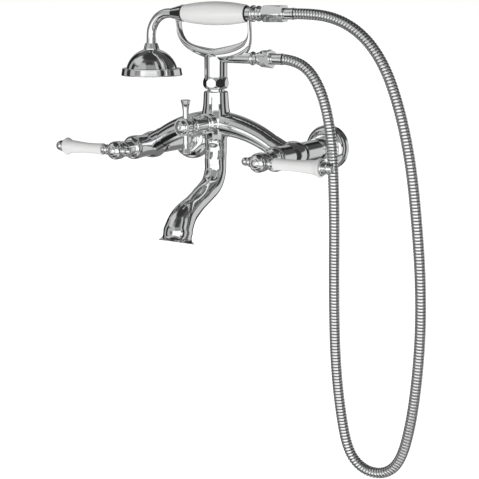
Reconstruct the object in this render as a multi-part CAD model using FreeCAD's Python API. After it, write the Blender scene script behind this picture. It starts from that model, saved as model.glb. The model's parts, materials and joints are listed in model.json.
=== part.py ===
import FreeCAD, Part
import math
import os
from FreeCAD import Placement, Rotation, Vector

# Wall mounted bath faucet with a hand shower, in millimetres.
# X runs right as seen from the front, Y points into the wall, Z is up.
# The origin is on the wall's face, midway between the two water inlets.

# ---------------------------------------------------------------- driving dimensions
inlet_spacing = 177.8        # centre to centre of the two inlets, a 7 inch valve
body_reach = 87.0            # wall to the plane of the riser, arms, cradle and hose
hub_height = 29.8            # diverter axis above the inlets
seat_height = 142.5          # hand shower axis above the inlets

wall_gap = 0.15              # clearance round a thread or a fixed spigot
turn_gap = 0.06              # radial running clearance of a turning stem
part_gap = 0.3               # clearance between pieces that move past each other
press_gap = 0.02             # clearance of a stem fixed in its hub
rod_gap = 0.05               # clearance of the lever's rod in the pieces it holds
edge = 0.8                   # small turned edges
pole_flat = 0.6              # radius of the small flat at the top of a dome

# wall side
flange_radius = 24.4
flange_depth = 14.0
flange_wall = 1.3
flange_shoulder = 5.0        # straight side before the flange rounds over
collar_radius = 12.4
collar_length = 15.0
shank_thread_radius = 10.48  # half inch pipe thread behind the wall
shank_radius = 10.2          # the shank in front of the wall
shank_neck_radius = 9.4      # the shank under its coupling nut
shank_thread_front = 30.0
shank_bore = 7.0
shank_in_wall = 18.0         # thread length that screws into the wall elbow
shank_relief = 0.5           # plain gap between the wall and the thread's first turn
coupling_radius = 11.4
coupling_front = body_reach - 23.0        # distances from the wall
coupling_back = shank_thread_front + 3.0
seal_length = 4.0            # washer between the coupling nut and the valve
seal_radius = 10.6

# valve bodies and the two arms
arm_root_radius = 13.2
arm_end_radius = 10.5
arm_arc_radius = 133.0
arm_end_turn = 31.0          # degrees below level at the joint with the valve body
arm_wall = 3.4
barrel_radius = 12.2
elbow_radius = 14.8          # swelling where the arm meets the valve axis
elbow_front = body_reach + 5.0
elbow_bend = 13.0            # bend radius of the water way inside the elbow
elbow_bore = 6.2
joint_step = 0.5             # the elbow stands proud of the arm at their joint
barrel_front = body_reach + 21.0
valve_bore = 7.6
bonnet_radius = 12.8
bonnet_front = barrel_front + 14.0
bonnet_nose_radius = 8.6
bonnet_nose_front = bonnet_front + 10.6
stem_radius = 3.2
stem_depth = 12.0            # how far the stem's socket runs into the cartridge
stem_seal_radius = 4.6
stem_seal_length = 3.0
stem_seal_inset = 0.6        # from the bonnet's nose to its seal

# levers
lever_reach = bonnet_nose_front + 11.7    # wall to the lever's axis
lever_hub_radius = 9.6
lever_hub_front = lever_reach + 8.8
finial_offset = lever_hub_radius + 6.3    # from the hub's axis to the bead's centre
finial_radius = 4.3
finial_neck_radius = 3.6
lever_collar_length = 7.2
lever_grip_start = lever_hub_radius + 8.0
lever_grip_length = 51.4
lever_grip_thin = 5.7
lever_grip_fat = 9.2
lever_rod_radius = 2.5
lever_cap_length = 12.6
lever_button_radius = 4.6
lever_button_depth = 1.6     # how deep the button sits in the hub
lever_rod_start = 2.4        # from the hub's axis to the rod's inner end
lever_rod_tail = 6.0         # length of rod inside the end cap

# diverter
diverter_radius = 9.4
diverter_front = body_reach + 47.0
diverter_handle_reach = diverter_front + 8.5
diverter_hub_radius = 9.1
diverter_cap_front = diverter_handle_reach + 10.9
diverter_spool_radius = 6.4
diverter_spool_half = 8.0    # half the drum's length
diverter_stem_radius = 3.4
diverter_bore = 8.0          # bore of the casting round the drum
diverter_boss_length = 20.5  # from the body's plane to the boss's front
diverter_sleeve_length = 12.0
diverter_seal_radius = 4.8
diverter_seal_depth = 3.4
diverter_cap_depth = 1.0
diverter_cap_height = 4.2
handle_half_length = 27.5
handle_tip_radius = 5.1
handle_waist_radius = 3.1

# hub, riser neck and nut
hub_radius = 16.4
neck_radius = 12.9
neck_top = hub_height + 32.7
water_bore = 7.0
riser_thread_radius = 10.0
riser_thread_length = 7.5
riser_nut_radius = 13.6
riser_nut_turn = 32.5        # degrees the nut happened to stop at
riser_nut_bottom = neck_top + 2.7
riser_nut_top = riser_nut_bottom + 11.8
riser_seal_length = 1.5
nut_ledge = 2.8
tail_radius = 9.0

# spout, in the plane x = 0
spout_radius = 11.5
spout_mid_radius = 10.8
spout_neck_radius = 14.9
spout_lip_radius = 18.6
spout_wall = 2.2
spout_joint_height = hub_height - 16.3
spout_first_corner = (-body_reach - 2.5, hub_height - 62.8)     # (y, z) where the straights cross
spout_second_corner = (-body_reach - 68.3, hub_height - 94.8)
spout_outlet = (-body_reach - 74.0, hub_height - 116.5)
spout_first_bend = 24.0
spout_second_bend = 34.0
spout_lip_height = 7.5
spout_thread_radius = spout_radius - 1.3
spout_thread_length = 8.0
spout_seal_length = 1.5
insert_length = 6.0          # the flow straightener in the spout's mouth
insert_inset = 3.0           # from the spout's outlet to the straightener
insert_pitch = 4.4
insert_wall = 0.6            # least metal between a hole and the straightener's rim
insert_hole_radius = 1.9

# column and cradle
column_radius = 12.1
column_top = riser_nut_top + 17.0
outlet_height = column_top + 3.5          # axis of the hose outlet
outlet_radius = 5.6
nipple_waist_radius = 5.2
outlet_bore = 3.0
outlet_end = 44.0
saddle_left = -47.2          # x of each fork where the hand shower rests
saddle_right = 42.0
fork_root_rise = 2.0         # the forks leave the column this far above the outlet's axis
saddle_thickness = 3.0
saddle_width = 14.0
saddle_post_width = 6.0      # the right fork is a narrow post
saddle_tip = seat_height - 4.5

# hose and its ends
hose_diameter = 10.9
hose_nut_start = outlet_end + 12.0
hose_nut_length = 12.6
hose_ferrule_radius = 5.8
hose_ferrule_length = 13.0
hose_washer_length = 1.6
nipple_thread_radius = 6.2
nipple_thread_length = 8.0
nipple_bore_step = 1.2       # widening of the nipple's bore for the check valve
check_valve_depth = 3.0      # from the cradle to the check valve
check_valve_bore = 1.6
check_valve_length = 9.0
washer_bore = 3.2
ferrule_bore = 3.0
ferrule_spigot_radius = 4.6
hose_nut_corner = 9.9
hose_nut_turn = 12.0         # degrees each nut happened to stop at
upper_nut_corner = 9.4
upper_nut_turn = 34.0
nut_slack = 0.2              # spare length of a nut's bore beyond its washer
upper_nut_start = saddle_right + 14.8
upper_nut_length = 26.4
upper_ferrule_length = 11.0

# hand shower
grip_left = saddle_left + 7.7
grip_right = saddle_right - 4.0
grip_end_radius = 9.0
grip_mid_radius = 12.2
core_radius = 5.0
core_bore = 3.2
core_front_depth = 5.0       # from the front ferrule's nose to the tube inside the grip
core_back_depth = 6.0        # how far that tube runs into the tail
tail_seat_radius = 7.2
tail_thread_length = 12.0
grip_seal_length = 1.0
ferrule_left = saddle_left - 7.8
ferrule_nose_radius = 5.6
gooseneck_radius = 5.1
gooseneck_foot_radius = 5.7
gooseneck_bend = 24.0
head_x = ferrule_left - 28.5
head_collar_top = seat_height - 32.0
head_top = head_collar_top - 6.5
head_rim_top = head_top - 20.0
head_bottom = head_rim_top - 8.0
head_dome_radius = 27.6
head_rim_radius = 33.2
head_wall = 1.6
head_collar_radius = 8.6
plate_thickness = 3.0
plate_inset = 0.6            # the spray plate sits this far up inside the rim
plate_hole_radius = 0.9
plate_hole_rings = ((0.0, 1), (7.0, 6), (14.0, 12), (21.0, 18))   # (radius, number of holes)


# ---------------------------------------------------------------- helpers
def at(x, y, z):
    return Vector(x, y, z)


def placed(shape, origin, along):
    """A shape drawn about the Z axis, moved to origin with its Z axis turned along."""
    moved = shape.copy()
    moved.Placement = Placement(origin, Rotation(Vector(0, 0, 1), along))
    return moved


def outline(points):
    """A closed face in the XZ plane from (radius, height) points.
    A point of four numbers is an arc: a point on the way, then the end."""
    edges = []
    first = at(points[0][0], 0, points[0][1])
    here = first
    for point in list(points[1:]) + [points[0]]:
        there = at(point[-2], 0, point[-1])
        if there.distanceToPoint(here) < 1e-6:
            continue
        if len(point) == 4:
            middle = at(point[0], 0, point[1])
            edges.append(Part.Arc(here, middle, there).toShape())
        else:
            edges.append(Part.LineSegment(here, there).toShape())
        here = there
    return Part.Face(Part.Wire(edges))


def turned(points, origin=Vector(0, 0, 0), along=Vector(0, 0, 1)):
    """A solid of revolution of an outline about its own axis."""
    solid = outline(points).revolve(Vector(0, 0, 0), Vector(0, 0, 1), 360)
    return placed(solid, origin, along)


def rod(radius, start, end):
    """A round bar between two points."""
    line = end - start
    return Part.makeCylinder(radius, line.Length, start, line)


def sleeve(outer, inner, start, end):
    """A plain ring or tube between two points."""
    return rod(outer, start, end).cut(rod(inner, start, end))


def prism(sides, radius, length, origin, along, turn=0.0):
    """A regular prism; radius reaches its corners."""
    corners = []
    for i in range(sides + 1):
        angle = math.radians(turn + 360.0 * i / sides)
        corners.append(at(radius * math.cos(angle), radius * math.sin(angle), 0))
    face = Part.Face(Part.makePolygon(corners))
    return placed(face.extrude(at(0, 0, length)), origin, along)


def bend_path(points, radii):
    """Straight runs through points, with an arc of the given radius at each inner point."""
    edges = []
    start = points[0]
    for i in range(1, len(points) - 1):
        before = (points[i - 1] - points[i]).normalize()
        after = (points[i + 1] - points[i]).normalize()
        half_turn = (math.pi - before.getAngle(after)) / 2
        reach = radii[i - 1] * math.tan(half_turn)
        entry = points[i] + before * reach
        leave = points[i] + after * reach
        inward = (before + after).normalize()
        middle = points[i] + inward * radii[i - 1] * (1 / math.cos(half_turn) - 1)
        if start.distanceToPoint(entry) > 1e-6:
            edges.append(Part.LineSegment(start, entry).toShape())
        edges.append(Part.Arc(entry, middle, leave).toShape())
        start = leave
    edges.append(Part.LineSegment(start, points[-1]).toShape())
    return Part.Wire(edges)


def swept(path, radius):
    """A round tube of constant radius along a path, as a solid bar."""
    first = path.OrderedEdges[0]
    start = first.valueAt(first.FirstParameter)
    direction = first.tangentAt(first.FirstParameter)
    circle = Part.Wire(Part.makeCircle(radius, start, direction))
    return path.makePipeShell([circle], True, False)


def ring_section(centre, direction, radius, width=None):
    """A circle wire, or an ellipse whose half width across the body is width."""
    if width is None:
        return Part.Wire(Part.makeCircle(radius, centre, direction))
    across = Vector(0, 1, 0)
    side = direction.cross(across).normalize()
    if width >= radius:
        curve = Part.Ellipse(centre + across * width, centre + side * radius, centre)
    else:
        curve = Part.Ellipse(centre + side * radius, centre + across * width, centre)
    return Part.Wire(curve.toShape())


def mirrored(shape):
    """The same piece on the other side of the body."""
    return shape.mirror(Vector(0, 0, 0), Vector(1, 0, 0))


def joined(*solids):
    """One solid from several that overlap."""
    body = solids[0].fuse(list(solids[1:]))
    return body.removeSplitter()


os.makedirs("parts", exist_ok=True)


def save(name, shape):
    """Write one node and say whether it is a sound solid."""
    solids = shape.Solids
    print(name, "solids", len(solids), "valid", shape.isValid(), "mm3", round(shape.Volume, 1))
    shape.exportStep("parts/" + name + ".step")


# ---------------------------------------------------------------- shared places
inlet_x = inlet_spacing / 2
body_y = -body_reach
forward = Vector(0, -1, 0)
right = Vector(1, 0, 0)
up = Vector(0, 0, 1)


def valve_axis(distance):
    """A point on the right valve's axis, at a distance from the wall."""
    return at(inlet_x, -distance, 0)


def body_axis(height, x=0.0):
    """A point in the body's plane."""
    return at(x, body_y, height)


# ---------------------------------------------------------------- wall side
def wall_flange():
    hole = shank_radius + wall_gap
    inner_side = flange_radius - flange_wall
    inner_front = flange_depth - flange_wall
    points = [
        (flange_radius, 0),
        (flange_radius, flange_shoulder),
        (flange_radius * 0.87, flange_depth * 0.8, collar_radius, flange_depth),
        (collar_radius, flange_depth + collar_length),
        (hole, flange_depth + collar_length),
        (hole, inner_front),
        (collar_radius, inner_front),
        (inner_side * 0.87, inner_front * 0.8, inner_side, flange_shoulder),
        (inner_side, 0),
    ]
    return turned(points, valve_axis(0), forward)


def inlet_shank():
    tip = coupling_front - part_gap
    points = [
        (shank_bore, -shank_in_wall),
        (shank_thread_radius - edge, -shank_in_wall),
        (shank_thread_radius, -shank_in_wall + edge),
        (shank_thread_radius, -shank_relief),
        (shank_radius, -shank_relief),
        (shank_radius, shank_thread_front),
        (shank_neck_radius, shank_thread_front),
        (shank_neck_radius, tip),
        (shank_bore, tip),
    ]
    return turned(points, valve_axis(0), forward)


def coupling_nut():
    inner = shank_neck_radius + wall_gap
    length = coupling_front - coupling_back
    points = [
        (inner, 0),
        (coupling_radius - edge, 0),
        (coupling_radius, edge),
        (coupling_radius, length - edge),
        (coupling_radius - edge, length),
        (inner, length),
    ]
    return turned(points, valve_axis(coupling_back), forward)


def union_seal():
    end = valve_axis(coupling_front + seal_length)
    return sleeve(seal_radius, shank_bore, valve_axis(coupling_front), end)


# ---------------------------------------------------------------- arms and valve bodies
def arm_point(turn):
    """A point of the arm's centreline, an arc that leaves the hub level."""
    x = arm_arc_radius * math.sin(turn)
    drop = arm_arc_radius * (1 - math.cos(turn))
    return at(x, body_y, hub_height - 0.6 - drop)


def arm_direction(turn):
    return at(math.cos(turn), 0, -math.sin(turn))


def arm(inset=0.0):
    """The right arm's tapered bar; inset shrinks it to its water way."""
    last = math.radians(arm_end_turn)
    sections = []
    steps = 7
    for i in range(steps):
        share = i / (steps - 1)
        radius = arm_root_radius + (arm_end_radius - arm_root_radius) * share - inset
        sections.append(ring_section(arm_point(last * share), arm_direction(last * share), radius))
    return Part.makeLoft(sections, True)


def elbow_path():
    last = math.radians(arm_end_turn)
    start = arm_point(last)
    corner = valve_axis(body_reach)
    return bend_path([start, corner, valve_axis(coupling_front + seal_length)], [elbow_bend])


def valve_body():
    back = coupling_front + seal_length
    length = elbow_front - back
    elbow = swept(elbow_path(), arm_end_radius + joint_step)
    ball = turned([
        (0, 0),
        (seal_radius - 1.8, 0),
        (elbow_radius - 1.6, length * 0.16, elbow_radius, length * 0.42),
        (elbow_radius - 0.7, length * 0.74, barrel_radius, length),
        (0, length),
    ], valve_axis(back), forward)
    barrel = rod(barrel_radius, valve_axis(body_reach - 2), valve_axis(barrel_front))
    last = math.radians(arm_end_turn)
    joint = arm_point(last)
    beyond = rod(elbow_radius * 2, joint - arm_direction(last) * elbow_radius, joint)
    shell = joined(elbow, ball, barrel).cut(beyond)
    shell = shell.cut(swept(elbow_path(), elbow_bore))
    return shell.cut(rod(valve_bore, valve_axis(body_reach), valve_axis(barrel_front)))


def bonnet():
    hole = stem_radius + turn_gap
    chest = bonnet_front - barrel_front
    nose = bonnet_nose_front - barrel_front
    pocket = stem_seal_radius + wall_gap
    seal_bed = nose - stem_seal_inset - stem_seal_length - part_gap
    points = [
        (hole, 0),
        (bonnet_radius, 0),
        (bonnet_radius, chest * 0.35),
        (bonnet_radius * 0.93, chest * 0.75, bonnet_nose_radius, chest),
        (bonnet_nose_radius, nose - edge),
        (bonnet_nose_radius - edge, nose),
        (pocket, nose),
        (pocket, seal_bed),
        (hole, seal_bed),
    ]
    return turned(points, valve_axis(barrel_front), forward)


def stem_seal():
    front = bonnet_nose_front - stem_seal_inset
    back = front - stem_seal_length
    return sleeve(stem_seal_radius, stem_radius + turn_gap, valve_axis(back), valve_axis(front))


def cartridge():
    end = valve_axis(barrel_front)
    body = rod(valve_bore - wall_gap, valve_axis(body_reach + 1.0), end)
    return body.cut(rod(stem_radius + turn_gap, valve_axis(barrel_front - stem_depth), end))


# ---------------------------------------------------------------- levers
stem_end = lever_reach - lever_rod_radius - part_gap


def lever_axis(offset):
    """A point on the right lever's own axis, offset outward from its hub."""
    return at(inlet_x + offset, -lever_reach, 0)


def valve_stem():
    return rod(stem_radius, valve_axis(barrel_front - stem_depth + part_gap), valve_axis(stem_end))


def lever_hub():
    skirt = lever_reach - bonnet_nose_front - part_gap
    front = lever_hub_front - lever_reach
    radius = lever_hub_radius
    ball = turned([
        (0, -skirt),
        (radius * 0.78, -skirt),
        (radius * 0.78, -skirt + 1.5),
        (radius * 1.02, -skirt * 0.28, radius, 0),
        (radius * 0.92, front * 0.62, lever_button_radius + 0.8, front),
        (0, front),
    ], lever_axis(0), forward)
    spigot = rod(finial_neck_radius, lever_axis(0), lever_axis(-finial_offset))
    bead = Part.makeSphere(finial_radius, lever_axis(-finial_offset))
    step = turned([
        (0, 0), (4.6, 0), (5.2, 1.4, 4.4, 2.8), (0, 2.8),
    ], lever_axis(-radius - 2.6), right)
    body = joined(ball, spigot, bead, step)
    body = body.cut(rod(stem_radius + press_gap, valve_axis(lever_reach - skirt - 1), valve_axis(stem_end)))
    rod_bed = rod(lever_rod_radius + rod_gap, lever_axis(lever_rod_start - part_gap), lever_axis(radius + 2))
    button_start = valve_axis(lever_hub_front - lever_button_depth)
    button_bed = rod(lever_button_radius + wall_gap, button_start, valve_axis(lever_hub_front + 1))
    return body.cut([rod_bed, button_bed])


def lever_button():
    radius = lever_button_radius
    return turned([
        (0, 0), (radius, 0), (radius, 1.8), (radius * 0.62, 2.8, pole_flat, 3.1), (0, 3.1),
    ], valve_axis(lever_hub_front - lever_button_depth), forward)


def lever_collar():
    hole = lever_rod_radius + rod_gap
    length = lever_collar_length
    return turned([
        (hole, 0), (4.0, 0), (5.6, length * 0.3, 4.1, length * 0.6),
        (5.4, length * 0.72), (5.4, length), (hole, length),
    ], lever_axis(lever_grip_start - length - rod_gap), right)


def lever_grip():
    hole = lever_rod_radius + wall_gap
    length = lever_grip_length
    points = [
        (hole, 0),
        (5.9, 0),
        (6.3, 0.6, 6.2, 1.6),
        (lever_grip_thin, length * 0.42, 6.9, length * 0.78),
        (7.8, length * 0.9, lever_grip_fat, length - 2.2),
        (lever_grip_fat + 0.1, length - 0.7, lever_grip_fat - 1.0, length),
        (hole, length),
    ]
    return turned(points, lever_axis(lever_grip_start), right)


def lever_rod():
    end = lever_grip_start + lever_grip_length + lever_rod_tail
    return rod(lever_rod_radius, lever_axis(lever_rod_start), lever_axis(end))


def lever_cap():
    base = lever_grip_start + lever_grip_length + rod_gap
    length = lever_cap_length
    points = [
        (0, 0),
        (7.4, 0),
        (7.9, 1.2, 7.2, 2.4),
        (5.6, 3.0, 3.9, 4.2),
        (5.8, 6.4, 5.2, 9.2),
        (3.8, length - 0.7, pole_flat, length),
        (0, length),
    ]
    cap = turned(points, lever_axis(base), right)
    return cap.cut(rod(lever_rod_radius + rod_gap, lever_axis(base - 1), lever_axis(base + lever_rod_tail)))


# ---------------------------------------------------------------- hub and neck
def faucet_body():
    z = hub_height
    hub = turned([
        (0, spout_joint_height),
        (spout_radius + 0.6, spout_joint_height),
        (spout_radius + 1.6, z - 13.0, hub_radius, z - 6.0),
        (hub_radius + 0.7, z, hub_radius, z + 6.0),
        (neck_radius + 1.5, z + 13.5, neck_radius + 0.6, z + 20.0),
        (neck_radius, neck_top - 1.0),
        (neck_radius - 1.0, neck_top),
        (riser_thread_radius - 1.0, neck_top),
        (riser_thread_radius - 1.0, neck_top + 2.0),
        (riser_thread_radius, neck_top + 2.6),
        (riser_thread_radius, neck_top + riser_thread_length),
        (0, neck_top + riser_thread_length),
    ], body_axis(0), up)
    right_arm = arm()
    left_arm = mirrored(right_arm)
    boss = turned([
        (0, 0),
        (13.0, 0),
        (12.4, 6.0, diverter_radius + 1.4, 10.0),
        (diverter_radius + 1.2, diverter_boss_length),
        (0, diverter_boss_length),
    ], body_axis(z), forward)
    body = joined(hub, right_arm, left_arm, boss)
    water = arm(arm_wall)
    body = body.cut(water).cut(mirrored(water))
    bore_top = neck_top + riser_thread_length + 1
    body = body.cut(rod(water_bore, body_axis(z - 4), body_axis(bore_top)))
    socket = rod(spout_thread_radius + wall_gap, body_axis(spout_joint_height - 1),
                 body_axis(spout_joint_height + spout_thread_length))
    body = body.cut(socket)
    body = body.cut(rod(water_bore, body_axis(spout_joint_height), body_axis(z)))
    bore_back = body_axis(z) + at(0, diverter_spool_half + 1, 0)
    bore_front = body_axis(z) - at(0, diverter_boss_length + 1, 0)
    return body.cut(rod(diverter_bore, bore_back, bore_front))


def diverter_housing():
    """The barrel in front of the hub, with a sleeve that screws into the casting."""
    start = at(0, body_y - diverter_boss_length, hub_height)
    length = diverter_front - body_reach - diverter_boss_length
    sleeve_radius = diverter_bore - wall_gap
    outer = turned([
        (0, -diverter_sleeve_length),
        (sleeve_radius, -diverter_sleeve_length),
        (sleeve_radius, 0),
        (diverter_radius, 0),
        (diverter_radius, 4.0),
        (diverter_radius - 1.1, 5.0),
        (diverter_radius - 1.1, length - 5.0),
        (diverter_radius, length - 4.0),
        (diverter_radius, length - edge),
        (diverter_radius - edge, length),
        (0, length),
    ], start, forward)
    beyond = start + forward * (length + 1)
    bore = rod(diverter_stem_radius + turn_gap, start - forward * (diverter_sleeve_length + 1), beyond)
    seal_bed = rod(diverter_seal_radius + wall_gap, beyond, start + forward * (length - diverter_seal_depth))
    return outer.cut([bore, seal_bed])


def diverter_seal():
    front = at(0, -diverter_front, hub_height)
    back = front - forward * diverter_seal_depth
    return sleeve(diverter_seal_radius, diverter_stem_radius + turn_gap, back, front - forward * 0.5)


def diverter_spool():
    """A drum with a water slot across it, and the stem that carries the handle."""
    middle = body_axis(hub_height)
    half = diverter_spool_half
    drum = rod(diverter_spool_radius, middle - forward * half, middle + forward * half)
    slot_width = 5.0
    slot_length = 12.0
    corner = middle - at(slot_width / 2, slot_length / 2, half)
    slot = Part.makeBox(slot_width, slot_length, 2 * half, corner)
    stem_front = at(0, -diverter_handle_reach + 1.0, hub_height)
    stem = rod(diverter_stem_radius, middle + forward * (half - 0.5), stem_front)
    return joined(drum.cut(slot), stem)


cap_foot_radius = diverter_hub_radius - 1.7


def diverter_handle():
    z = hub_height
    centre = at(0, -diverter_handle_reach, z)
    back = diverter_handle_reach - diverter_front - part_gap
    front = diverter_cap_front - diverter_handle_reach - diverter_cap_height + diverter_cap_depth
    radius = diverter_hub_radius
    hub = turned([
        (0, -back),
        (radius - 1.4, -back),
        (radius - 0.4, -back * 0.7, radius - 0.4, 0),
        (radius, front - 2.5),
        (radius, front),
        (0, front),
    ], centre, forward)
    half = handle_half_length
    trumpet = [
        (0, 0),
        (handle_waist_radius, 0),
        (handle_waist_radius, radius + 1.5),
        (handle_waist_radius + 0.2, half * 0.66, handle_tip_radius, half - 1.2),
        (handle_tip_radius, half - 0.5, handle_tip_radius - 0.8, half),
        (0, half),
    ]
    body = joined(hub, turned(trumpet, centre, up), turned(trumpet, centre, -up))
    socket = rod(diverter_stem_radius + press_gap, centre - forward * (back + 1), centre + forward)
    bed_back = centre + forward * (front - diverter_cap_depth)
    bed = rod(cap_foot_radius + wall_gap, bed_back, centre + forward * (front + 1))
    return body.cut([socket, bed])


def diverter_cap():
    length = diverter_cap_height
    return turned([
        (0, 0),
        (cap_foot_radius, 0),
        (cap_foot_radius, length * 0.29),
        (cap_foot_radius - 0.9, length * 0.48),
        (cap_foot_radius * 0.61, length - 0.4, pole_flat, length),
        (0, length),
    ], at(0, -diverter_cap_front + length, hub_height), forward)


# ---------------------------------------------------------------- spout
def spout_points():
    first = at(0, *spout_first_corner)
    second = at(0, *spout_second_corner)
    outlet = at(0, *spout_outlet)
    return [body_axis(spout_joint_height), first, second, outlet]


def spout_path():
    return bend_path(spout_points(), [spout_first_bend, spout_second_bend])


def spout_radius_at(share):
    """The spout narrows after its first bend and swells to its outlet."""
    if share < 0.36:
        return spout_radius
    if share < 0.62:
        blend = (share - 0.36) / 0.26
        return spout_radius + (spout_mid_radius - spout_radius) * blend
    blend = (share - 0.62) / 0.38
    smooth = blend * blend * (3 - 2 * blend)
    return spout_mid_radius + (spout_neck_radius - spout_mid_radius) * smooth


def spout_sections(inset):
    """Circles along the spout down to its lip, the first one level with its top joint."""
    path = spout_path()
    total = path.Length - spout_lip_height
    sections = []
    steps = 14
    edges = path.OrderedEdges
    for i in range(steps + 1):
        left = total * i / steps
        for edge in edges:
            if left <= edge.Length + 1e-6 or edge is edges[-1]:
                parameter = edge.getParameterByLength(min(left, edge.Length))
                break
            left -= edge.Length
        direction = edge.tangentAt(parameter) if i > 0 else at(0, 0, -1)
        radius = spout_radius_at(i / steps) - inset
        sections.append(ring_section(edge.valueAt(parameter), direction, radius))
    return sections


def spout_end_direction():
    points = spout_points()
    return (points[3] - points[2]).normalize()


def spout_lip_sections():
    """Circles of the flared lip, given as (height above the outlet, radius)."""
    flare = spout_lip_radius - spout_neck_radius
    stations = [(0.6, 0.06), (0.4, 0.26), (0.24, 0.55), (0.12, 0.86), (0.05, 1.0), (0.0, 0.93)]
    sections = []
    for height, share in stations:
        centre = at(0, *spout_outlet) - spout_end_direction() * (spout_lip_height * height)
        sections.append(ring_section(centre, spout_end_direction(), spout_neck_radius + flare * share))
    return sections


def spout():
    """A hollow pipe between two lofts that end on the same planes, with a spigot on top."""
    mouth = ring_section(at(0, *spout_outlet), spout_end_direction(), spout_neck_radius - spout_wall)
    outer = Part.makeLoft(spout_sections(0.0) + spout_lip_sections(), True)
    inner = Part.makeLoft(spout_sections(spout_wall) + [mouth], True)
    pipe = outer.cut(inner)
    spigot_end = body_axis(spout_joint_height + spout_thread_length - spout_seal_length - 0.1)
    spigot = sleeve(spout_thread_radius, water_bore, body_axis(spout_joint_height), spigot_end)
    return pipe.fuse(spigot)


def spout_seal():
    start = body_axis(spout_joint_height + spout_thread_length - spout_seal_length)
    end = body_axis(spout_joint_height + spout_thread_length)
    return sleeve(spout_thread_radius, water_bore, start, end)


def spout_insert():
    outlet = at(0, *spout_outlet)
    along = spout_end_direction()
    radius = spout_neck_radius - spout_wall - wall_gap
    back = outlet - along * (insert_inset + insert_length)
    body = rod(radius, back, outlet - along * insert_inset)
    across = along.cross(right).normalize()
    furthest = radius - insert_hole_radius - insert_wall
    tools = []
    for i in range(-2, 3):
        for j in range(-2, 3):
            shift = right * (i * insert_pitch) + across * (j * insert_pitch)
            if shift.Length <= furthest:
                tools.append(rod(insert_hole_radius, back + shift - along, outlet + shift))
    return body.cut(tools)


# ---------------------------------------------------------------- riser nut, column and cradle
def riser_nut():
    length = riser_nut_top - riser_nut_bottom
    blank = prism(8, riser_nut_radius, length, body_axis(riser_nut_bottom), up, riser_nut_turn)
    barrel = turned([
        (0, 0),
        (riser_nut_radius * 0.84, 0),
        (riser_nut_radius, length * 0.36, riser_nut_radius * 0.97, length * 0.75),
        (riser_nut_radius * 0.9, length),
        (0, length),
    ], body_axis(riser_nut_bottom), up)
    nut = blank.common(barrel)
    ledge = body_axis(riser_nut_top - nut_ledge)
    nut = nut.cut(rod(riser_thread_radius + wall_gap, body_axis(riser_nut_bottom - 1), ledge))
    return nut.cut(rod(tail_radius + wall_gap, body_axis(riser_nut_bottom), body_axis(riser_nut_top + 1)))


def riser_seal():
    start = neck_top + riser_thread_length
    end = start + riser_seal_length
    return sleeve(riser_thread_radius - part_gap, water_bore, body_axis(start), body_axis(end))


def cradle_arm(saddle, stations):
    """One arm of the fork, lofted through ellipses.
    A station is (share of the way out to the saddle, share of the way up from the column to the tip,
    slope in degrees, thickness, width)."""
    root = outlet_height + fork_root_rise
    sections = []
    for out, rise, slope, thickness, width in stations:
        angle = math.radians(slope)
        direction = at(math.cos(angle), 0, math.sin(angle))
        centre = body_axis(root + (saddle_tip - root) * rise, saddle * out)
        sections.append(ring_section(centre, direction, thickness / 2, width / 2))
    return Part.makeLoft(sections, True)


def cradle():
    tail_foot = neck_top + riser_thread_length + riser_seal_length
    ledge = riser_nut_top - nut_ledge
    column = turned([
        (0, tail_foot),
        (riser_thread_radius - wall_gap, tail_foot),
        (riser_thread_radius - wall_gap, ledge - 0.2),
        (tail_radius, ledge - 0.2),
        (tail_radius, riser_nut_top + 0.2),
        (column_radius - 0.8, riser_nut_top + 0.2),
        (column_radius, riser_nut_top + 1.0),
        (column_radius, column_top + 4.0),
        (column_radius - 1.6, column_top + 7.5, column_radius - 5.0, column_top + 9.0),
        (0, column_top + 10.0),
    ], body_axis(0), up)
    thin = saddle_thickness
    wide = saddle_width
    left = cradle_arm(saddle_left, [
        (-0.04, 0.0, 180, 14.0, 23.0),
        (0.30, 0.08, 172, 10.0, 17.0),
        (0.60, 0.185, 153, 7.6, 12.5),
        (0.84, 0.355, 128, 5.4, 10.5),
        (0.953, 0.56, 106, 4.0, 10.5),
        (0.992, 0.78, 97, thin + 0.2, wide - 3.5),
        (1.013, 1.0, 96, thin, wide),
    ])
    right_side = cradle_arm(saddle_right, [
        (-0.05, 0.0, 0, 14.0, 23.0),
        (0.33, 0.03, 4, 17.0, 17.0),
        (0.655, 0.12, 16, 16.0, 13.0),
        (0.90, 0.30, 44, 11.0, 9.5),
        (0.985, 0.52, 84, 5.0, 6.5),
        (0.99, 0.77, 92, thin + 0.2, saddle_post_width),
        (0.985, 1.0, 92, thin, saddle_post_width),
    ])
    reach = at(12, 0, 0)
    left_seat = body_axis(seat_height, saddle_left)
    right_seat = body_axis(seat_height, saddle_right)
    left = left.cut(rod(ferrule_seat_radius() + part_gap, left_seat - reach, left_seat + reach))
    right_side = right_side.cut(rod(tail_seat_radius + part_gap, right_seat - reach, right_seat + reach))
    tube = rod(outlet_radius, body_axis(outlet_height), body_axis(outlet_height, outlet_end))
    body = column.fuse([left, right_side, tube])
    water = rod(water_bore, body_axis(tail_foot - 1), body_axis(outlet_height + outlet_bore / 2))
    cross_start = body_axis(outlet_height, -outlet_bore / 3)
    cross = rod(outlet_bore, cross_start, body_axis(outlet_height, outlet_end + 1))
    return body.cut([water, cross])


# ---------------------------------------------------------------- hose outlet, hose and ends
def outlet_point(x):
    return body_axis(outlet_height, x)


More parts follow.
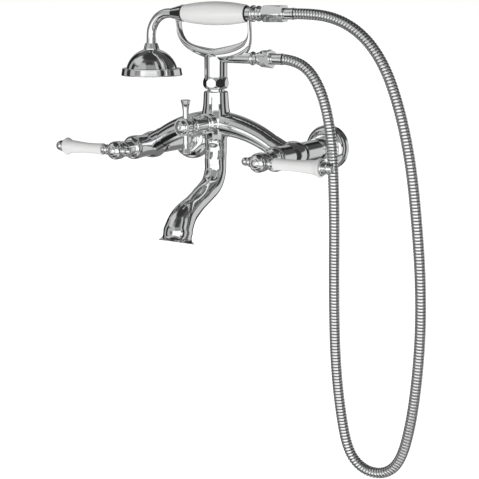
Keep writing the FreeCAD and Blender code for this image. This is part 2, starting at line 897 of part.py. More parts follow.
def hose_outlet():
    """The screwed nipple on the cradle's side, with a bead where it meets the casting."""
    thread_start = hose_nut_start - outlet_end
    thread_end = thread_start + nipple_thread_length
    bead = outlet_radius + 1.2
    points = [
        (outlet_bore, 0),
        (bead - 0.6, 0),
        (bead + 0.4, 1.6, bead - 0.6, 3.2),
        (nipple_waist_radius, 3.6),
        (nipple_waist_radius, 6.0),
        (nipple_waist_radius + 1.2, 8.0, nipple_waist_radius + 1.4, thread_start - 0.4),
        (nipple_thread_radius, thread_start - 0.4),
        (nipple_thread_radius, thread_end),
        (outlet_bore + nipple_bore_step, thread_end),
        (outlet_bore + nipple_bore_step, check_valve_depth),
        (outlet_bore, check_valve_depth),
    ]
    return turned(points, outlet_point(outlet_end), right)


def check_valve():
    """The small plastic non-return valve inside the nipple."""
    start = outlet_end + check_valve_depth + rod_gap
    radius = outlet_bore + nipple_bore_step - wall_gap
    return sleeve(radius, check_valve_bore, outlet_point(start), outlet_point(start + check_valve_length))


def hose_washer(start, height):
    end = body_axis(height, start + hose_washer_length)
    return sleeve(nipple_thread_radius - 0.1, washer_bore, body_axis(height, start), end)


def hose_nut(start, profile, corner, turn, thread_length):
    """A six sided nut cut to a turned profile, bored for a nipple's thread and a ferrule's spigot."""
    length = profile[-1][1]
    blank = prism(6, corner, length, start, right, turn)
    bed = thread_length + hose_washer_length + nut_slack
    thread = rod(nipple_thread_radius + wall_gap, start - right, start + right * bed)
    spigot = rod(ferrule_spigot_radius + wall_gap, start, start + right * (length + 1))
    return blank.common(turned(profile, start, right)).cut([thread, spigot])


def lower_hose_nut():
    length = hose_nut_length
    profile = [
        (0, 0), (8.0, 0), (8.6, 1.2), (9.0, length * 0.6), (10.2, length * 0.86), (10.2, length), (0, length),
    ]
    start = outlet_point(hose_nut_start)
    return hose_nut(start, profile, hose_nut_corner, hose_nut_turn, nipple_thread_length)


def hose_ferrule(start, length, height, direction, foot):
    """The crimped metal sleeve on the hose's end, with the spigot that the nut holds."""
    radius = hose_ferrule_radius
    points = [
        (ferrule_bore, -foot),
        (ferrule_spigot_radius, -foot),
        (ferrule_spigot_radius, 0.2),
        (radius - 0.4, 0.2),
        (radius - 0.1, 0.6),
        (radius - 0.1, length - 2.6),
        (radius + 0.2, length - 2.2),
        (radius + 0.2, length),
        (ferrule_bore, length),
    ]
    return turned(points, body_axis(height, start), direction)


# The hose's route in the body's plane, as (x, z), from the cradle's outlet to the hand shower.
hose_route = [
    (82.1, 97.5), (94.0, 96.6), (110.5, 88.6), (123.5, 71.0), (132.0, 48.5), (137.8, 20.0),
    (140.9, -20.0), (142.6, -64.0), (143.1, -110.0), (144.2, -158.0), (146.6, -208.0),
    (152.6, -257.0), (162.5, -303.0), (180.5, -320.3), (204.5, -320.3), (222.5, -303.0),
    (232.5, -262.0), (238.0, -210.0), (239.8, -158.0), (237.5, -106.0), (232.0, -55.0),
    (225.5, -8.0), (217.0, 31.0), (206.5, 64.5), (194.5, 92.0), (178.5, 114.5),
    (158.5, 130.5), (136.0, 139.5), (113.0, 142.5), (94.4, 142.5),
]


def hose():
    points = [body_axis(z, x) for x, z in hose_route]
    radii = []
    for i in range(1, len(points) - 1):
        before = points[i - 1] - points[i]
        after = points[i + 1] - points[i]
        half_turn = (math.pi - before.getAngle(after)) / 2
        radii.append(0.45 * min(before.Length, after.Length) / math.tan(half_turn))
    path = bend_path(points, radii)
    tube = swept(path, hose_diameter / 2)
    section = math.pi * hose_diameter ** 2 / 4
    print("hose length", round(path.Length, 1), "radii", [round(r, 1) for r in radii])
    print("hose volume ratio", round(tube.Volume / (section * path.Length), 4))
    return tube


def upper_hose_nut():
    """The long conical nut that joins the hose to the hand shower."""
    length = upper_nut_length
    profile = [
        (0, 0),
        (6.8, 0),
        (9.2, 3.4),
        (9.6, 5.0),
        (9.0, length - 3.0),
        (9.4, length - 2.4),
        (9.2, length),
        (0, length),
    ]
    start = body_axis(seat_height, upper_nut_start)
    return hose_nut(start, profile, upper_nut_corner, upper_nut_turn, tail_thread_length)


# ---------------------------------------------------------------- hand shower
def ferrule_radius(x):
    """The front ferrule's outer radius, a straight cone between its nose and the grip."""
    share = (x - ferrule_left) / (grip_left - grip_seal_length - ferrule_left)
    return ferrule_nose_radius + (grip_end_radius + 0.2 - ferrule_nose_radius) * share


def ferrule_seat_radius():
    """The largest ferrule radius over the left saddle plate."""
    return ferrule_radius(saddle_left + saddle_thickness / 2)


def grip_point(x):
    return body_axis(seat_height, x)


def handset_grip():
    length = grip_right - grip_left
    hole = core_radius + wall_gap
    points = [
        (hole, 0),
        (grip_end_radius - 0.5, 0),
        (grip_end_radius, 0.8),
        (grip_mid_radius, length / 2, grip_end_radius, length - 0.8),
        (grip_end_radius - 0.5, length),
        (hole, length),
    ]
    return turned(points, grip_point(grip_left), right)


def grip_core():
    start = ferrule_left + core_front_depth
    end = grip_right + grip_seal_length + core_back_depth
    return sleeve(core_radius, core_bore, grip_point(start), grip_point(end))


def grip_seal(start):
    end = grip_point(start + grip_seal_length)
    return sleeve(grip_end_radius - 0.9, core_radius + wall_gap, grip_point(start), end)


def grip_ferrule():
    start = ferrule_left
    end = grip_left - grip_seal_length
    length = end - start
    points = [
        (gooseneck_radius + wall_gap, 0),
        (ferrule_nose_radius, 0),
        (grip_end_radius + 0.2, length),
        (core_radius + wall_gap, length),
        (core_radius + wall_gap, core_front_depth - 0.1),
        (gooseneck_radius + wall_gap, core_front_depth - 0.1),
    ]
    return turned(points, grip_point(start), right)


def handset_tail():
    """The turned neck behind the grip: bead, waist, flange and the hose thread."""
    start = grip_right + grip_seal_length
    length = upper_nut_start - 0.4 - start
    seat_end = saddle_right + saddle_thickness / 2 + 1.2 - start
    points = [
        (core_radius + wall_gap, 0),
        (tail_seat_radius, 0),
        (tail_seat_radius, seat_end),
        (tail_seat_radius + 1.3, seat_end + 1.4, tail_seat_radius - 0.4, seat_end + 2.8),
        (5.4, seat_end + 4.6, 6.6, seat_end + 6.6),
        (7.9, seat_end + 7.4),
        (7.9, seat_end + 8.4),
        (6.6, seat_end + 9.2),
        (6.6, length),
        (nipple_thread_radius, length),
        (nipple_thread_radius, length + 0.4 + tail_thread_length),
        (core_bore, length + 0.4 + tail_thread_length),
        (core_bore, core_back_depth + 0.2),
        (core_radius + wall_gap, core_back_depth + 0.2),
    ]
    return turned(points, grip_point(start), right)


def gooseneck():
    start = grip_point(ferrule_left + core_front_depth - 0.2)
    corner = grip_point(head_x)
    foot = body_axis(head_collar_top - 4.0, head_x)
    path = bend_path([start, corner, foot], [gooseneck_bend])
    tube = swept(path, gooseneck_radius)
    flare = turned([
        (0, 0), (gooseneck_foot_radius, 0), (gooseneck_radius, 10.0), (0, 10.0),
    ], foot, up)
    return joined(tube, flare).cut(swept(path, core_bore))


def head_collar():
    top = head_collar_top
    length = top - head_top
    hole = gooseneck_foot_radius + wall_gap
    points = [
        (hole, 0),
        (head_collar_radius, 0),
        (head_collar_radius, edge),
        (gooseneck_foot_radius + 1.2, length),
        (hole, length),
    ]
    return turned(points, body_axis(head_top, head_x), up)


def head_dome():
    """The bell: a domed shell open at the bottom."""
    height = head_top - head_rim_top
    outer = head_dome_radius
    wall = head_wall
    hole = core_bore
    points = [
        (hole, height),
        (head_collar_radius, height),
        (outer * 0.75, height * 0.63, outer, 0),
        (outer - wall, 0),
        ((outer - wall) * 0.73, (height - wall) * 0.62, head_collar_radius - 1.0, height - wall - 0.4),
        (hole, height - wall - 0.4),
    ]
    return turned(points, body_axis(head_rim_top, head_x), up)


def head_rim():
    height = head_rim_top - head_bottom
    outer = head_rim_radius
    inner = head_dome_radius - head_wall
    points = [
        (inner, 0),
        (outer - 1.2, 0),
        (outer - 0.1, 0.3, outer, 1.4),
        (outer - 0.9, height - 1.4),
        (outer - 1.2, height - 0.1, outer - 2.2, height),
        (inner, height),
    ]
    return turned(points, body_axis(head_bottom, head_x), up)


def spray_plate():
    radius = head_dome_radius - head_wall - wall_gap
    bottom = body_axis(head_bottom + plate_inset, head_x)
    plate = rod(radius, bottom, bottom + up * plate_thickness)
    tools = []
    for ring, count in plate_hole_rings:
        for i in range(count):
            angle = 2 * math.pi * i / count
            start = bottom + at(ring * math.cos(angle), ring * math.sin(angle), -1)
            tools.append(rod(plate_hole_radius, start, start + up * (plate_thickness + 2)))
    return plate.cut(tools)


# ---------------------------------------------------------------- build both sides and write
paired = {
    "wall_flange": wall_flange(),
    "inlet_shank": inlet_shank(),
    "coupling_nut": coupling_nut(),
    "valve_body": valve_body(),
    "bonnet": bonnet(),
    "cartridge": cartridge(),
    "valve_stem": valve_stem(),
    "lever_hub": lever_hub(),
    "lever_button": lever_button(),
    "lever_collar": lever_collar(),
    "lever_grip": lever_grip(),
    "lever_rod": lever_rod(),
    "lever_cap": lever_cap(),
}
for name, shape in paired.items():
    save(name + "_right", shape)
    save(name + "_left", mirrored(shape))

for name, shape in (("union_seals", union_seal()), ("stem_seals", stem_seal())):
    save(name, Part.makeCompound([shape, mirrored(shape)]))

save("faucet_body", faucet_body())
save("diverter_housing", diverter_housing())
save("diverter_seal", diverter_seal())
save("diverter_spool", diverter_spool())
save("diverter_handle", diverter_handle())
save("diverter_cap", diverter_cap())
save("spout", spout())
save("spout_seal", spout_seal())
save("spout_insert", spout_insert())
save("riser_nut", riser_nut())
save("riser_seal", riser_seal())
save("cradle", cradle())
save("hose_outlet", hose_outlet())
save("check_valve", check_valve())

washer_start = hose_nut_start - 0.4 + nipple_thread_length + 0.4
save("lower_hose_washer", hose_washer(washer_start, outlet_height))
save("lower_hose_nut", lower_hose_nut())
lower_end = hose_nut_start + hose_nut_length
ferrule_foot = lower_end - (washer_start + hose_washer_length)
save("lower_hose_ferrule", hose_ferrule(lower_end, hose_ferrule_length, outlet_height, right, ferrule_foot))
save("hose", hose())

upper_washer = upper_nut_start + tail_thread_length
upper_end = upper_nut_start + upper_nut_length
upper_foot = upper_end - (upper_washer + hose_washer_length)
save("upper_hose_washer", hose_washer(upper_washer, seat_height))
save("upper_hose_nut", upper_hose_nut())
save("upper_hose_ferrule", hose_ferrule(upper_end, upper_ferrule_length, seat_height, right, upper_foot))

save("handset_tail", handset_tail())
save("handset_grip", handset_grip())
save("grip_core", grip_core())
save("grip_seals", Part.makeCompound([grip_seal(grip_left - grip_seal_length), grip_seal(grip_right)]))
save("grip_ferrule", grip_ferrule())
save("gooseneck", gooseneck())
save("head_collar", head_collar())
save("head_dome", head_dome())
save("head_rim", head_rim())
save("spray_plate", spray_plate())
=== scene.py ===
# %% [markdown]
# # Wall mounted bath faucet
# A polished bath faucet with white glazed levers and a hand shower on a metal hose.
# The solid model is loaded first and stays where it is. This script gives each of its
# pieces a finish, makes the ringed hose and the small trim as new surfaces, and builds
# the studio: one white floor, soft lights and a ring of bright and dark panels to reflect.

import json
import math

import bmesh
import bpy
import numpy as np
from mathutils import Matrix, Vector


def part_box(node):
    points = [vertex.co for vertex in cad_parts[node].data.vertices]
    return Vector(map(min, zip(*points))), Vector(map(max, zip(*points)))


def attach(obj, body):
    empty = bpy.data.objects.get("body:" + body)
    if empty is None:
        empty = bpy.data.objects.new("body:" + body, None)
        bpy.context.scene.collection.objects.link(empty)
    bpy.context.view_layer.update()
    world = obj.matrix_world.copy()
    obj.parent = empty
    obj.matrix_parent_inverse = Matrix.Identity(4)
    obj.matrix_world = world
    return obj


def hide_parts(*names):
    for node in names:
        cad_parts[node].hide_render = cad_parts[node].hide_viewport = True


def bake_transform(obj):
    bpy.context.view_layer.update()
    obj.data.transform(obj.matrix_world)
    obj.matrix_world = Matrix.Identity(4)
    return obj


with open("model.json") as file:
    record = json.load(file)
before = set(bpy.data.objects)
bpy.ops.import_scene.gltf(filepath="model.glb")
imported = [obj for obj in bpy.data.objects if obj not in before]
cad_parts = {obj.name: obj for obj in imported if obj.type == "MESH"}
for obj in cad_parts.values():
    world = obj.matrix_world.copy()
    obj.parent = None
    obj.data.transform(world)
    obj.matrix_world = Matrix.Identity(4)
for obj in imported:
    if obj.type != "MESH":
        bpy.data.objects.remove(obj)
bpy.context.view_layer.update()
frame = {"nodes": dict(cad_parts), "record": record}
nodes = frame["nodes"]
print("pieces in the model:", len(nodes))

# %% [markdown]
# ## The camera
# The faucet is seen from its right, a little from above, through a long lens, which
# keeps near and far pieces close to the same size. A camera can be turned with Euler
# angles, but a direction is easier to reason about: we work out the line from the
# object back to the camera and ask for the rotation that looks along it.

# %% Place the camera
view_turn = math.radians(32.44)
view_rise = math.radians(11.8)
back = Vector((
    math.sin(view_turn) * math.cos(view_rise),
    -math.cos(view_turn) * math.cos(view_rise),
    math.sin(view_rise),
))
lens = bpy.data.cameras.new("camera")
lens.lens = 85.32
lens.sensor_width = 36.0
lens.shift_x = -0.00104
lens.shift_y = 0.00104
lens.clip_end = 50.0
camera = bpy.data.objects.new("camera", lens)
camera.location = (0.66477, -1.08581, 0.15317)
camera.rotation_mode = "QUATERNION"
camera.rotation_quaternion = (-back).to_track_quat("-Z", "Y")
bpy.context.scene.collection.objects.link(camera)
bpy.context.scene.camera = camera
bpy.context.scene.view_settings.view_transform = "Standard"
print("camera at", [round(v, 3) for v in camera.location])

# %% [markdown]
# ## The hose
# A shower hose is a strip of steel wound into rings that lock into each other, so it
# bends freely but never kinks. Its line is a smooth spline through a few listed points:
# out of the cradle, down, round a narrow loop and back up.
# A bevelled curve would give a smooth tube only, so the spline is read back as points
# and a ringed profile is carried along it.

# %% Lay the hose's centreline
body_y = -0.087
route = [
    (0.0821, 0.0975), (0.0940, 0.0966), (0.1105, 0.0886), (0.1235, 0.0710), (0.1320, 0.0485),
    (0.1378, 0.0200), (0.1409, -0.0200), (0.1426, -0.0640), (0.1431, -0.1100), (0.1442, -0.1580),
    (0.1466, -0.2080), (0.1526, -0.2570), (0.1625, -0.3030), (0.1805, -0.3203), (0.2045, -0.3203),
    (0.2225, -0.3030), (0.2325, -0.2620), (0.2380, -0.2100), (0.2398, -0.1580), (0.2375, -0.1060),
    (0.2320, -0.0550), (0.2255, -0.0080), (0.2170, 0.0310), (0.2065, 0.0645), (0.1945, 0.0920),
    (0.1785, 0.1145), (0.1585, 0.1305), (0.1360, 0.1395), (0.1130, 0.1425), (0.0944, 0.1425),
]
hose_radius = 0.00545


def spline_points(points, order=3, steps=24):
    """The points of a NURBS curve whose control points are given, read back as an array."""
    curve = bpy.data.curves.new("route", "CURVE")
    curve.dimensions = "3D"
    curve.resolution_u = steps
    spline = curve.splines.new("NURBS")
    spline.points.add(len(points) - 1)
    for point, place in zip(spline.points, points):
        point.co = (*place, 1.0)
    spline.order_u = order
    spline.use_endpoint_u = True
    holder = bpy.data.objects.new("route", curve)
    line = bpy.data.meshes.new_from_object(holder)
    found = np.zeros(len(line.vertices) * 3)
    line.vertices.foreach_get("co", found)
    bpy.data.objects.remove(holder)
    bpy.data.curves.remove(curve)
    bpy.data.meshes.remove(line)
    return found.reshape(-1, 3)


def along(points, count):
    """Points at equal steps of length along a line, and the line's whole length."""
    step = np.linalg.norm(np.diff(points, axis=0), axis=1)
    run = np.concatenate([[0.0], np.cumsum(step)])
    wanted = np.linspace(0.0, run[-1], count)
    even = np.stack([np.interp(wanted, run, points[:, k]) for k in range(3)], axis=1)
    return even, run[-1]


hose_line = spline_points([(x, body_y, z) for x, z in route])


# %% Carry a profile along the line
def grid_mesh(name, grid, closed_u=False, closed_v=True):
    """A mesh from an array of points in rows and columns.
    closed_v joins each row's end to its start, and closed_u the last row to the first."""
    rows, columns = grid.shape[:2]
    index = np.arange(rows * columns).reshape(rows, columns)
    if closed_v:
        index = np.concatenate([index, index[:, :1]], axis=1)
    if closed_u:
        index = np.concatenate([index, index[:1]], axis=0)
    corners = [index[:-1, :-1], index[:-1, 1:], index[1:, 1:], index[1:, :-1]]
    quads = np.stack(corners, axis=-1).reshape(-1, 4)
    mesh = bpy.data.meshes.new(name)
    mesh.from_pydata(grid.reshape(-1, 3), [], quads)
    mesh.shade_smooth()
    mesh.validate()
    piece = bpy.data.objects.new(name, mesh)
    bpy.context.scene.collection.objects.link(piece)
    return piece


same_place = 1e-7


def seal(piece):
    """Merge points that lie on each other, so that poles close, and turn every face outwards."""
    shape = bmesh.new()
    shape.from_mesh(piece.data)
    bmesh.ops.remove_doubles(shape, verts=shape.verts, dist=same_place)
    bmesh.ops.recalc_face_normals(shape, faces=shape.faces)
    shape.to_mesh(piece.data)
    shape.free()
    piece.data.update()


def ringed_tube(name, line, radius, pitch, groove, samples, sides):
    """A ringed hose along a line that lies in one upright plane.
    Radius at length s is radius - groove * |2u - 1|^5, where u is how far s has come
    through its ring, from 0 to 1: a broad crown with a narrow groove each side. A row of
    points at the centre closes each end."""
    length = along(line, 2)[1]
    rings = round(length / pitch)
    centre, _ = along(line, rings * samples + 1)
    tangent = np.gradient(centre, axis=0)
    tangent /= np.linalg.norm(tangent, axis=1)[:, None]
    side = np.array([0.0, 1.0, 0.0])
    up = np.cross(tangent, side)
    share = (np.arange(len(centre)) % samples) / samples
    dip = np.abs(2 * share - 1) ** 5
    local = radius - groove * dip
    angle = np.linspace(0, 2 * np.pi, sides, endpoint=False)
    ring = np.cos(angle)[None, :, None] * side + np.sin(angle)[None, :, None] * up[:, None, :]
    wall = centre[:, None, :] + local[:, None, None] * ring
    ends = np.repeat(centre[[0, -1], None, :], sides, axis=1)
    piece = grid_mesh(name, np.concatenate([ends[:1], wall, ends[1:]]))
    mark = piece.data.attributes.new("groove", "FLOAT", "POINT")
    shares = np.concatenate([[0.0], dip, [0.0]])
    mark.data.foreach_set("value", np.repeat(shares, sides).astype(np.float32))
    seal(piece)
    return piece, centre, rings


ring_pitch = 0.0032
groove_depth = 0.0008
hose, hose_centre, ring_count = ringed_tube(
    "ringed_hose", hose_line, hose_radius, ring_pitch, groove_depth, samples=10, sides=24,
)
print("hose rings", ring_count, "faces", len(hose.data.polygons))

# %% [markdown]
# ## The pipe threads
# Behind the wall each inlet pipe carries a screw thread, too fine for the solid model.
# A thread is one helix wave on a tube, so a grid whose radius depends on height and
# turn makes it in one step. Modelling it as a cut would need a swept triangle and many
# more faces.

# %% Pipe threads on the two shanks
def thread_tube(name, foot, radius, inner, depth, pitch, length, steps=12, sides=64):
    """A threaded tube along +Y from foot.
    Radius is radius + depth * t(s / pitch - turn), where t is a triangle wave from 0 to 1,
    so the ridge climbs one pitch per turn; the last pitch at each end fades out. Two more
    rows at the inner radius turn the sheet back under itself into a closed ring."""
    rows = int(length / pitch * steps) + 1
    run = np.linspace(0, length, rows)
    turn = np.linspace(0, 1, sides, endpoint=False)
    phase = (run[:, None] / pitch - turn[None, :]) % 1.0
    wave = np.abs(2 * phase - 1)
    fade = np.clip(np.minimum(run, length - run) / pitch, 0, 1)[:, None]
    local = radius + depth * (1 - wave) * fade
    local = np.concatenate([local, np.full((2, sides), inner)])
    run = np.concatenate([run, [length, 0.0]])
    grid = np.stack([
        foot[0] + local * np.cos(2 * np.pi * turn)[None, :],
        np.broadcast_to(foot[1] + run[:, None], local.shape),
        foot[2] + local * np.sin(2 * np.pi * turn)[None, :],
    ], axis=-1)
    piece = grid_mesh(name, grid, closed_u=True)
    seal(piece)
    return piece


thread_radius = 0.01045
thread_inside = 0.0100
thread_depth = 0.0008
thread_pitch = 0.0018
thread_start = 0.0012
thread_spare = 0.0026    # how much shorter than the shank's reach past the wall
threads = []
for hand in ("right", "left"):
    low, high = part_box("inlet_shank_" + hand)
    middle = (low[0] + high[0]) / 2
    thread = thread_tube(
        "pipe_thread_" + hand, (middle, thread_start, 0.0), thread_radius, thread_inside,
        thread_depth, thread_pitch, high[1] - thread_spare,
    )
    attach(thread, "faucet")
    threads.append(thread)
print("threads", len(threads), "faces each", len(threads[0].data.polygons))

# %% [markdown]
# ## The nozzles
# A shower head lets its water out through soft nozzles that can be rubbed clean. They
# could be copies of one object, but then forty-six objects would have to move with the
# head. One dome's points are worked out once and added to every place as whole arrays,
# which gives a single mesh.

# %% Nozzles under the shower head
def nozzle_field(name, centre, rings, radius, height, steps=8, sides=14):
    """Little domes in rings on the spray plate, all in one mesh.
    Each dome's radius is radius * cos(a) and its depth height * sin(a), for a from 0 to a
    quarter turn, after one row at the middle of its foot, which closes it."""
    places = [(0.0, 0.0)]
    for reach, count in rings:
        angle = np.arange(count) * 2 * np.pi / count
        places += list(zip(reach * np.cos(angle), reach * np.sin(angle)))
    places = np.array(places)
    a = np.linspace(0, np.pi / 2, steps)
    wide = np.concatenate([[0.0], radius * np.cos(a)])[:, None]
    deep = np.concatenate([[0.0], height * np.sin(a)])[:, None]
    rows = steps + 1
    turn = np.arange(sides) * 2 * np.pi / sides
    dome = np.stack([
        wide * np.cos(turn),
        wide * np.sin(turn),
        np.broadcast_to(-deep, (rows, sides)),
    ], axis=-1)
    shifts = np.concatenate([places, np.zeros((len(places), 1))], axis=1)
    points = dome[None] + shifts[:, None, None] + centre
    index = np.arange(rows * sides).reshape(rows, sides)
    index = np.concatenate([index, index[:, :1]], axis=1)
    corners = [index[:-1, :-1], index[1:, :-1], index[1:, 1:], index[:-1, 1:]]
    quads = np.stack(corners, axis=-1).reshape(-1, 4)
    first = np.arange(len(places)) * rows * sides
    every = (quads[None] + first[:, None, None]).reshape(-1, 4)
    mesh = bpy.data.meshes.new(name)
    mesh.from_pydata(points.reshape(-1, 3), [], every)
    mesh.shade_smooth()
    piece = bpy.data.objects.new(name, mesh)
    bpy.context.scene.collection.objects.link(piece)
    seal(piece)
    return piece


plate_low, plate_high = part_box("spray_plate")
plate_middle = [(a + b) / 2 for a, b in zip(plate_low, plate_high)]
nozzle_rings = [(0.0105, 9), (0.0175, 15), (0.0232, 21)]    # distance from the middle, count
nozzle_radius = 0.0011
nozzle_height = 0.0016
nozzle_sunk = 0.0001
nozzle_foot = np.array([plate_middle[0], plate_middle[1], plate_low[2] + nozzle_sunk])
nozzles = nozzle_field("nozzles", nozzle_foot, nozzle_rings, nozzle_radius, nozzle_height)
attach(nozzles, "handset")
print("nozzles faces", len(nozzles.data.polygons))

# %% [markdown]
# ## Finishes
# Each finish is a small node tree. What two of them share, the faint smears that a
# polished surface picks up, is a node group with its own sockets. It puts out a value
# that shifts the roughness and a height for a very shallow bump.

# %% The shared smear group
def new_socket(tree, name, kind, way, value=None):
    """A named input or output on a node group, with its starting value."""
    socket = tree.interface.new_socket(name=name, in_out=way, socket_type=kind)
    if value is not None:
        socket.default_value = value
    return socket


def smear_group():
    """Roughness is Base plus Amount times soft noise; Height is a slower, wider noise."""
    tree = bpy.data.node_groups.new("smears", "ShaderNodeTree")
    new_socket(tree, "Scale", "NodeSocketFloat", "INPUT", 40.0)
    new_socket(tree, "Base", "NodeSocketFloat", "INPUT", 0.05)
    new_socket(tree, "Amount", "NodeSocketFloat", "INPUT", 0.05)
    new_socket(tree, "Roughness", "NodeSocketFloat", "OUTPUT")
    new_socket(tree, "Height", "NodeSocketFloat", "OUTPUT")
    enter = tree.nodes.new("NodeGroupInput")
    leave = tree.nodes.new("NodeGroupOutput")
    place = tree.nodes.new("ShaderNodeTexCoord")
    fine = tree.nodes.new("ShaderNodeTexNoise")
    fine.inputs["Detail"].default_value = 4.0
    wide = tree.nodes.new("ShaderNodeTexNoise")
    wide.inputs["Detail"].default_value = 1.0
    wide.inputs["Scale"].default_value = 22.0
    scaled = tree.nodes.new("ShaderNodeMath")
    scaled.operation = "MULTIPLY_ADD"
    tree.links.new(place.outputs["Object"], fine.inputs["Vector"])
    tree.links.new(place.outputs["Object"], wide.inputs["Vector"])
    tree.links.new(enter.outputs["Scale"], fine.inputs["Scale"])
    tree.links.new(fine.outputs["Fac"], scaled.inputs[0])
    tree.links.new(enter.outputs["Amount"], scaled.inputs[1])
    tree.links.new(enter.outputs["Base"], scaled.inputs[2])
    tree.links.new(scaled.outputs[0], leave.inputs["Roughness"])
    tree.links.new(wide.outputs["Fac"], leave.inputs["Height"])
    return tree


smears = smear_group()


# %% A finish made from the group
def finish(name, colour, metallic, base, amount, scale, bump, bump_distance=0.001, coat=0.0):
    """A Principled surface whose roughness and bump come from the smear group."""
    material = bpy.data.materials.new(name)
    material.use_nodes = True
    tree = material.node_tree
    shader = tree.nodes["Principled BSDF"]
    shader.inputs["Base Color"].default_value = (*colour, 1.0)
    shader.inputs["Metallic"].default_value = metallic
    shader.inputs["Coat Weight"].default_value = coat
    shader.inputs["Coat Roughness"].default_value = 0.03
    group = tree.nodes.new("ShaderNodeGroup")
    group.node_tree = smears
    group.inputs["Scale"].default_value = scale
    group.inputs["Base"].default_value = base
    group.inputs["Amount"].default_value = amount
    tree.links.new(group.outputs["Roughness"], shader.inputs["Roughness"])
    relief = tree.nodes.new("ShaderNodeBump")
    relief.inputs["Strength"].default_value = bump
    relief.inputs["Distance"].default_value = bump_distance
    tree.links.new(group.outputs["Height"], relief.inputs["Height"])
    tree.links.new(relief.outputs["Normal"], shader.inputs["Normal"])
    return material


# Each finish: colour, metallic, base roughness, how far it varies, smear scale, bump
# strength, and where they differ from the usual, bump distance and coat weight.
finishes = {
    "chrome": finish("polished_chrome", (0.88, 0.885, 0.89), 1.0, 0.05, 0.05, 90.0, 0.02, 0.0006),
    "brass": finish("machined_brass", (0.72, 0.53, 0.25), 1.0, 0.22, 0.15, 200.0, 0.2),
    "ceramic": finish("white_glaze", (0.70, 0.70, 0.695), 0.0, 0.12, 0.08, 50.0, 0.04, 0.001, 0.6),
    "steel": finish("turned_steel", (0.60, 0.60, 0.60), 1.0, 0.25, 0.15, 150.0, 0.2),
    "steel_hose": finish("end_steel", (0.84, 0.845, 0.85), 1.0, 0.06, 0.1, 160.0, 0.1),
    "rubber": finish("black_rubber", (0.012, 0.012, 0.012), 0.0, 0.55, 0.25, 220.0, 0.3),
    "plastic": finish("grey_plastic", (0.42, 0.43, 0.44), 0.0, 0.42, 0.2, 180.0, 0.2),
}


def paint(piece, material):
    """One material all over a piece."""
    piece.data.materials.clear()
    piece.data.materials.append(material)


for part in frame["record"]["subparts"]:
    paint(nodes[part["node"]], finishes[part["material_slot"]])
for thread in threads:
    paint(thread, finishes["chrome"])
paint(nozzles, finishes["rubber"])
print("finishes:", len(finishes))

# %% [markdown]
# ## The hose's own finish
# The hose's grooves are painted darker than its crowns: painted shade where less light reaches
# between the rings.
# A bump could suggest that, but the rings are real shape here, so the mesh carries how
# deep each point lies as an attribute, and a colour ramp turns it into that painted shade.

# %% The hose's steel, with painted shade in its grooves
def hose_finish():
    """The hose's steel, with the groove attribute turning crown colour into a darker groove
    colour, which is painted shade.
    """
    material = finish("hose_steel", (0.84, 0.845, 0.85), 1.0, 0.08, 0.12, 160.0, 0.1)
    tree = material.node_tree
    shader = tree.nodes["Principled BSDF"]
    groove = tree.nodes.new("ShaderNodeAttribute")
    groove.attribute_name = "groove"
    groove_shade_ramp = tree.nodes.new("ShaderNodeValToRGB")
    groove_shade_ramp.color_ramp.elements[0].position = 0.15
    groove_shade_ramp.color_ramp.elements[0].color = (0.84, 0.845, 0.85, 1)
    # The dark groove colour is painted shade between the rings, not a colour of the steel.
    groove_shade_ramp.color_ramp.elements[1].position = 0.75
    groove_shade_ramp.color_ramp.elements[1].color = (0.20, 0.20, 0.205, 1)
    tree.links.new(groove.outputs["Fac"], groove_shade_ramp.inputs["Fac"])
    tree.links.new(groove_shade_ramp.outputs["Color"], shader.inputs["Base Color"])
    return material


paint(hose, hose_finish())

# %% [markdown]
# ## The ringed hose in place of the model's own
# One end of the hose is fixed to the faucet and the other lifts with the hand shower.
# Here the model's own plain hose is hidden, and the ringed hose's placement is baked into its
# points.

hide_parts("hose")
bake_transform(hose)

# %% [markdown]
# ## The studio
# Polished metal has no colour of its own: it shows the room. So the room is drawn in
# the world shader, as bright and dark panels placed by direction, the way a
# photographer stands white cards and black flags round a shiny thing. An image of a
# studio would do too, but panels can be moved one at a time and stay sharp.

# %% Panels drawn by direction
def panel_group():
    """A mask that is 1 inside a rectangle of directions and falls to 0 over Soft degrees."""
    tree = bpy.data.node_groups.new("panel", "ShaderNodeTree")
    for name in ("Turn", "Rise", "Left", "Right", "Low", "High", "Soft"):
        new_socket(tree, name, "NodeSocketFloat", "INPUT", 0.0)
    new_socket(tree, "Mask", "NodeSocketFloat", "OUTPUT")
    enter = tree.nodes.new("NodeGroupInput")
    leave = tree.nodes.new("NodeGroupOutput")

    def edge(value, limit, rising):
        """A smooth step of value across a limit."""
        gap = tree.nodes.new("ShaderNodeMath")
        gap.operation = "SUBTRACT"
        first, second = (value, limit) if rising else (limit, value)
        tree.links.new(enter.outputs[first], gap.inputs[0])
        tree.links.new(enter.outputs[second], gap.inputs[1])
        share = tree.nodes.new("ShaderNodeMath")
        share.operation = "DIVIDE"
        tree.links.new(gap.outputs[0], share.inputs[0])
        tree.links.new(enter.outputs["Soft"], share.inputs[1])
        step = tree.nodes.new("ShaderNodeMapRange")
        step.interpolation_type = "SMOOTHSTEP"
        step.inputs["From Min"].default_value = -0.5
        step.inputs["From Max"].default_value = 0.5
        tree.links.new(share.outputs[0], step.inputs["Value"])
        return step.outputs["Result"]

    edges = [
        edge("Turn", "Left", True),
        edge("Turn", "Right", False),
        edge("Rise", "Low", True),
        edge("Rise", "High", False),
    ]
    product = edges[0]
    for other in edges[1:]:
        times = tree.nodes.new("ShaderNodeMath")
        times.operation = "MULTIPLY"
        tree.links.new(product, times.inputs[0])
        tree.links.new(other, times.inputs[1])
        product = times.outputs[0]
    tree.links.new(product, leave.inputs["Mask"])
    return tree


